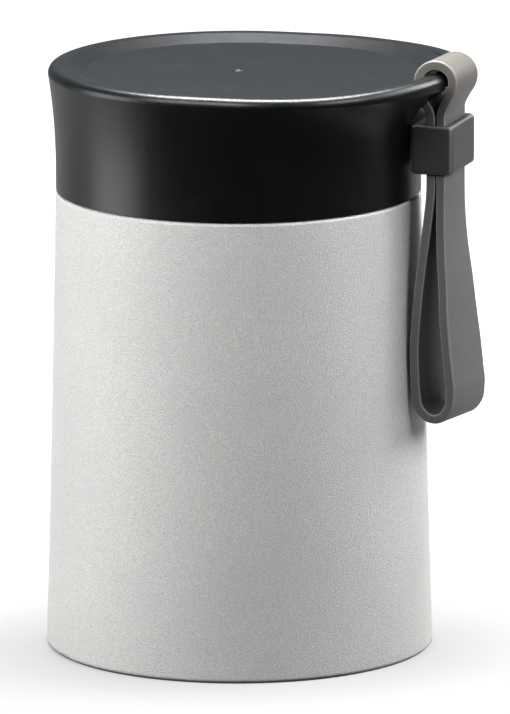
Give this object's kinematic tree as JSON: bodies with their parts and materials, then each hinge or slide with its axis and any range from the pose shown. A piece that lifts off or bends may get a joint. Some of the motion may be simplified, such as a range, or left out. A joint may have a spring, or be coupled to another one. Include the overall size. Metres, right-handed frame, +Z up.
{
  "type": "insulated food jar",
  "caption": "Vacuum-insulated food jar with a screw lid, a rim drawn out into a slotted ear, and a soft carrying strap held by a sliding keeper.",
  "frame": {"origin": "centre of the base, on the jar's axis, on the face it stands on", "axes": "+Z up along the jar's axis, +X towards the strap"},
  "size_m": [0.1095, 0.098, 0.1544],
  "materials": {
    "body_coat": "fine-grained pearl powder coat",
    "bare_steel": "brushed",
    "seal_solder": "solder glass",
    "getter_strip": "sintered grey",
    "foil_copper": "bright copper foil",
    "lid_black": "satin moulded",
    "liner_grey": "satin moulded",
    "gasket_silicone": "soft silicone",
    "foam_white": "closed-cell foam",
    "strap_grey": "satin soft-touch",
    "keeper_grey": "satin soft-touch"
  },
  "bodies": {
    "jar": {"outer_shell": "body_coat", "inner_vessel": "bare_steel", "vacuum_base": "bare_steel", "seal_glass": "seal_solder", "getter": "getter_strip", "copper_foil": "foil_copper", "base_cover": "bare_steel"},
    "seal": {"lid_gasket": "gasket_silicone"},
    "lid": {"lid_cover": "lid_black", "lid_liner": "liner_grey", "lid_insulation": "foam_white"},
    "strap": {"strap": "strap_grey"},
    "keeper": {"strap_keeper": "keeper_grey"}
  },
  "joints": [
    {"name": "lid_lift", "type": "slide", "parent": "jar", "child": "seal", "axis": [0, 0, 1], "range_m": [0, 0.0301]},
    {"name": "lid_turn", "type": "hinge", "parent": "seal", "child": "lid", "pos_m": [0, 0, 0.117], "axis": [0, 0, 1], "range_deg": [0, 900]},
    {"name": "strap_swing", "type": "hinge", "parent": "lid", "child": "strap", "pos_m": [0.05451, 0, 0.1488], "axis": [0, -1, 0], "range_deg": [0, 180]},
    {"name": "keeper_slide", "type": "slide", "parent": "strap", "child": "keeper", "axis": [0, 0, 1], "range_m": [-0.005, 0]}
  ],
  "couplings": [
    {"joint": "lid_lift", "follows": "lid_turn", "m_per_rad": 0.0019099}
  ]
}
